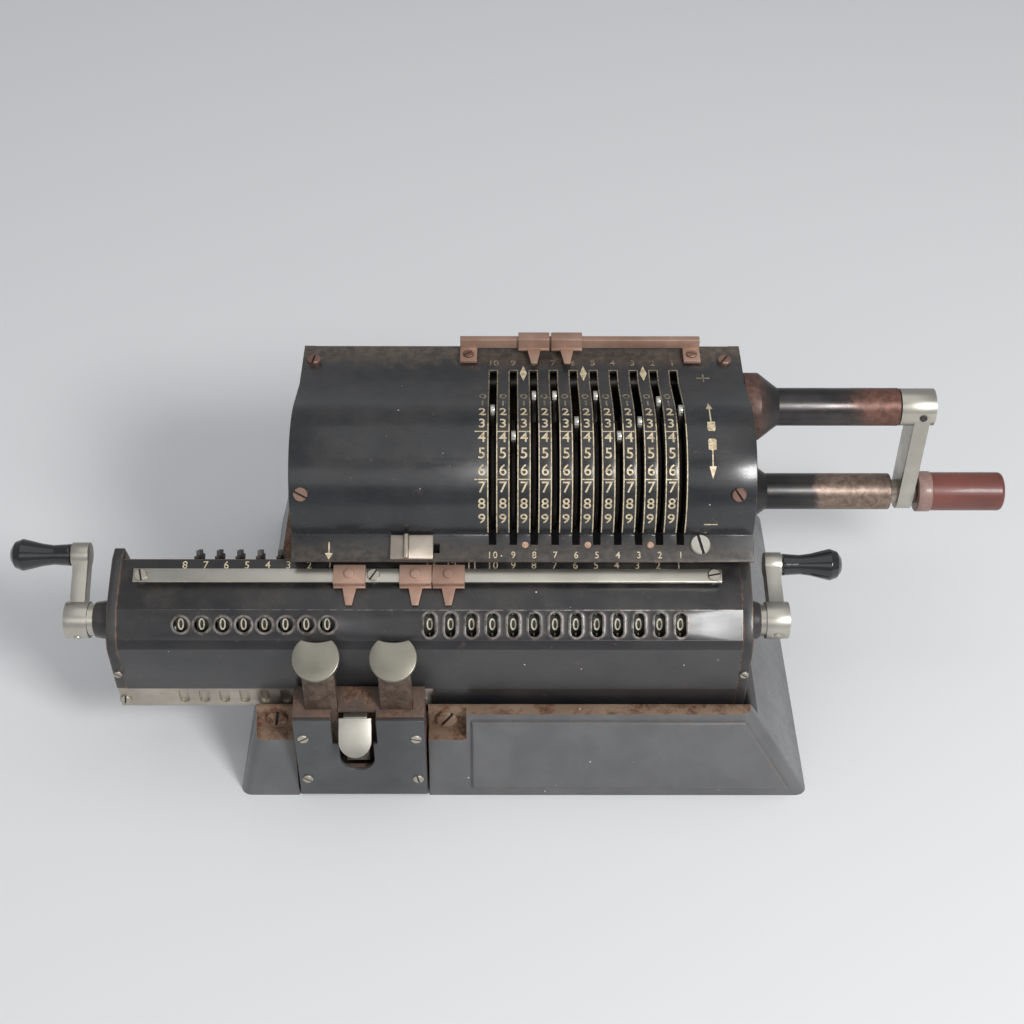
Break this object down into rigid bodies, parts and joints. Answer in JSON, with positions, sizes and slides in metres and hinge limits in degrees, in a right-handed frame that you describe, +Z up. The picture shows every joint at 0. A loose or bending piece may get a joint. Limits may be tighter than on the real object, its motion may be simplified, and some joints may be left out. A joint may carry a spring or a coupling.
{
  "type": "pinwheel calculator",
  "caption": "Hand-cranked pinwheel calculator: numbered drum with setting levers, sliding carriage with result and counter windows, clearing cranks, shift keys and main crank on a cast base",
  "frame": {"origin": "centre of the cast base's underside, on the surface that the machine stands on", "axes": "+X to the user's right, along carriage and crank axes; +Y away from the user; +Z up"},
  "size_m": [0.353, 0.1544, 0.1225],
  "materials": {
    "black_enamel": "worn satin black enamel",
    "dark_steel": "dark steel",
    "rusty_steel": "rusted steel screws",
    "rusty_copper": "copper-brown rusted steel",
    "gun_metal": "gun-metal black, worn to bare brown metal",
    "nickel": "worn nickel plate",
    "maroon_grip": "red-brown moulded grip",
    "black_grip": "glossy black moulded grip",
    "brass_wheels": "aged brass",
    "brown_iron": "black paint worn to brown iron",
    "number_wheels": "dark number wheels with cream figures"
  },
  "bodies": {
    "root": {"base_casting": "black_enamel", "bottom_plate": "dark_steel", "base_screws": "dark_steel", "left_side_frame": "black_enamel", "right_side_frame": "black_enamel", "tie_rods": "dark_steel", "front_cover": "black_enamel", "rear_cover": "black_enamel", "cover_screws": "rusty_steel", "top_marker_rail": "rusty_copper", "crank_shaft_housing": "gun_metal", "crank_rest_tube": "gun_metal", "idler_stud": "dark_steel", "guide_brackets": "dark_steel", "key_block_housing": "brown_iron", "key_block_front_plate": "black_enamel", "key_block_screws": "rusty_steel"},
    "crank": {"crank_shaft": "dark_steel", "crank_arm": "nickel", "crank_arm_pin": "dark_steel"},
    "latch": {"crank_latch": "nickel"},
    "crank_handle": {"crank_grip": "maroon_grip"},
    "idler": {"idler_gear": "dark_steel"},
    "rotor": {"rotor_shaft": "dark_steel", "pinwheel_discs": "brass_wheels", "pinwheel_pins": "dark_steel", "counter_finger": "dark_steel"},
    "carriage": {"carriage_housing": "black_enamel", "carriage_plates": "brown_iron", "carriage_rods": "dark_steel", "carriage_rack": "nickel", "marker_bar": "nickel", "carriage_screws": "nickel"},
    "marker_counter": {"counter_marker": "rusty_copper"},
    "marker_result_left": {"left_result_marker": "rusty_copper"},
    "marker_result_right": {"right_result_marker": "rusty_copper"},
    "marker_top_left": {"left_top_marker": "rusty_copper"},
    "marker_top_right": {"right_top_marker": "rusty_copper"},
    "clear_left": {"left_clearing_crank": "nickel"},
    "clear_left_handle": {"left_clearing_grip": "black_grip"},
    "clear_right": {"right_clearing_crank": "nickel"},
    "clear_right_handle": {"right_clearing_grip": "black_grip"},
    "result_wheels": {"result_number_wheels": "number_wheels"},
    "counter_wheels": {"counter_number_wheels": "number_wheels"},
    "result_gears": {"result_step_gears": "brass_wheels"},
    "counter_gears": {"counter_step_gears": "brass_wheels"},
    "key_left": {"left_shift_key": "nickel"},
    "key_right": {"right_shift_key": "nickel"},
    "key_release": {"release_key": "nickel"},
    "knob": {"lip_knob": "nickel"},
    "lever_1": {"setting_lever_1": "nickel"},
    "lever_2": {"setting_lever_2": "nickel"},
    "lever_3": {"setting_lever_3": "nickel"},
    "lever_4": {"setting_lever_4": "nickel"},
    "lever_5": {"setting_lever_5": "nickel"},
    "lever_6": {"setting_lever_6": "nickel"},
    "lever_7": {"setting_lever_7": "nickel"},
    "lever_8": {"setting_lever_8": "nickel"},
    "lever_9": {"setting_lever_9": "nickel"},
    "lever_10": {"setting_lever_10": "nickel"}
  },
  "joints": [
    {"name": "crank_turn", "type": "hinge", "parent": "root", "child": "crank", "pos_m": [0.1, 0.0174, 0.1031], "axis": [1, 0, 0], "continuous": true},
    {"name": "latch_pull", "type": "slide", "parent": "crank", "child": "latch", "axis": [1, 0, 0], "range_m": [0, 0.005], "stiffness_N_per_m": 300, "springref_m": -0.004},
    {"name": "crank_grip_spin", "type": "hinge", "parent": "latch", "child": "crank_handle", "pos_m": [0.16, 0.0174, 0.0632], "axis": [1, 0, 0], "continuous": true},
    {"name": "idler_turn", "type": "hinge", "parent": "root", "child": "idler", "pos_m": [0.062, 0.0049, 0.09805], "axis": [1, 0, 0], "continuous": true},
    {"name": "rotor_turn", "type": "hinge", "parent": "root", "child": "rotor", "pos_m": [0, -0.0076, 0.093], "axis": [1, 0, 0], "continuous": true},
    {"name": "lever_1_set", "type": "hinge", "parent": "rotor", "child": "lever_1", "pos_m": [0.0521, -0.0076, 0.093], "axis": [1, 0, 0], "range_deg": [-24, 84]},
    {"name": "lever_2_set", "type": "hinge", "parent": "rotor", "child": "lever_2", "pos_m": [0.0451, -0.0076, 0.093], "axis": [1, 0, 0], "range_deg": [-12, 96]},
    {"name": "lever_3_set", "type": "hinge", "parent": "rotor", "child": "lever_3", "pos_m": [0.0381, -0.0076, 0.093], "axis": [1, 0, 0], "range_deg": [-36, 72]},
    {"name": "lever_4_set", "type": "hinge", "parent": "rotor", "child": "lever_4", "pos_m": [0.0311, -0.0076, 0.093], "axis": [1, 0, 0], "range_deg": [-48, 60]},
    {"name": "lever_5_set", "type": "hinge", "parent": "rotor", "child": "lever_5", "pos_m": [0.0241, -0.0076, 0.093], "axis": [1, 0, 0], "range_deg": [0, 108]},
    {"name": "lever_6_set", "type": "hinge", "parent": "rotor", "child": "lever_6", "pos_m": [0.0171, -0.0076, 0.093], "axis": [1, 0, 0], "range_deg": [-36, 72]},
    {"name": "lever_7_set", "type": "hinge", "parent": "rotor", "child": "lever_7", "pos_m": [0.0101, -0.0076, 0.093], "axis": [1, 0, 0], "range_deg": [0, 108]},
    {"name": "lever_8_set", "type": "hinge", "parent": "rotor", "child": "lever_8", "pos_m": [0.0031, -0.0076, 0.093], "axis": [1, 0, 0], "range_deg": [0, 108]},
    {"name": "lever_9_set", "type": "hinge", "parent": "rotor", "child": "lever_9", "pos_m": [-0.0039, -0.0076, 0.093], "axis": [1, 0, 0], "range_deg": [-48, 60]},
    {"name": "lever_10_set", "type": "hinge", "parent": "rotor", "child": "lever_10", "pos_m": [-0.0109, -0.0076, 0.093], "axis": [1, 0, 0], "range_deg": [-24, 84]},
    {"name": "carriage_shift", "type": "slide", "parent": "root", "child": "carriage", "axis": [1, 0, 0], "range_m": [0, 0.049]},
    {"name": "counter_marker_slide", "type": "slide", "parent": "carriage", "child": "marker_counter", "axis": [1, 0, 0], "range_m": [-0.056, 0]},
    {"name": "left_result_marker_slide", "type": "slide", "parent": "carriage", "child": "marker_result_left", "axis": [1, 0, 0], "range_m": [-0.004, 0]},
    {"name": "right_result_marker_slide", "type": "slide", "parent": "carriage", "child": "marker_result_right", "axis": [1, 0, 0], "range_m": [0, 0.077]},
    {"name": "left_top_marker_slide", "type": "slide", "parent": "root", "child": "marker_top_left", "axis": [1, 0, 0], "range_m": [-0.014, 0]},
    {"name": "right_top_marker_slide", "type": "slide", "parent": "root", "child": "marker_top_right", "axis": [1, 0, 0], "range_m": [0, 0.035]},
    {"name": "left_clearing_turn", "type": "hinge", "parent": "carriage", "child": "clear_left", "pos_m": [-0.15, -0.0488, 0.0633], "axis": [1, 0, 0], "continuous": true},
    {"name": "left_clearing_grip_spin", "type": "hinge", "parent": "clear_left", "child": "clear_left_handle", "pos_m": [-0.165, -0.02947, 0.07519], "axis": [1, 0, 0], "continuous": true},
    {"name": "right_clearing_turn", "type": "hinge", "parent": "carriage", "child": "clear_right", "pos_m": [0.085, -0.0488, 0.0633], "axis": [1, 0, 0], "continuous": true},
    {"name": "right_clearing_grip_spin", "type": "hinge", "parent": "clear_right", "child": "clear_right_handle", "pos_m": [0.1, -0.0266, 0.06802], "axis": [1, 0, 0], "continuous": true},
    {"name": "result_wheels_turn", "type": "hinge", "parent": "carriage", "child": "result_wheels", "pos_m": [0.01, -0.0488, 0.0633], "axis": [1, 0, 0], "continuous": true},
    {"name": "counter_wheels_turn", "type": "hinge", "parent": "carriage", "child": "counter_wheels", "pos_m": [-0.09, -0.0488, 0.0633], "axis": [1, 0, 0], "continuous": true},
    {"name": "result_gears_turn", "type": "hinge", "parent": "carriage", "child": "result_gears", "pos_m": [0.01, -0.0337, 0.06732], "axis": [1, 0, 0], "continuous": true},
    {"name": "counter_gears_turn", "type": "hinge", "parent": "carriage", "child": "counter_gears", "pos_m": [-0.09, -0.0337, 0.06732], "axis": [1, 0, 0], "continuous": true},
    {"name": "left_key_press", "type": "slide", "parent": "root", "child": "key_left", "axis": [0, 0, -1], "range_m": [0, 0.004], "stiffness_N_per_m": 250, "springref_m": -0.004},
    {"name": "right_key_press", "type": "slide", "parent": "root", "child": "key_right", "axis": [0, 0, -1], "range_m": [0, 0.004], "stiffness_N_per_m": 250, "springref_m": -0.004},
    {"name": "release_press", "type": "slide", "parent": "root", "child": "key_release", "axis": [0, 0, -1], "range_m": [0, 0.005], "stiffness_N_per_m": 250, "springref_m": -0.004},
    {"name": "lip_knob_slide", "type": "slide", "parent": "root", "child": "knob", "axis": [1, 0, 0], "range_m": [0, 0.0035]}
  ],
  "couplings": [
    {"joint": "idler_turn", "follows": "crank_turn", "ratio": -1.25},
    {"joint": "rotor_turn", "follows": "crank_turn", "ratio": 1},
    {"joint": "result_wheels_turn", "follows": "right_clearing_turn", "ratio": 1},
    {"joint": "result_gears_turn", "follows": "right_clearing_turn", "ratio": -0.66667},
    {"joint": "counter_wheels_turn", "follows": "left_clearing_turn", "ratio": 1},
    {"joint": "counter_gears_turn", "follows": "left_clearing_turn", "ratio": -0.66667}
  ]
}
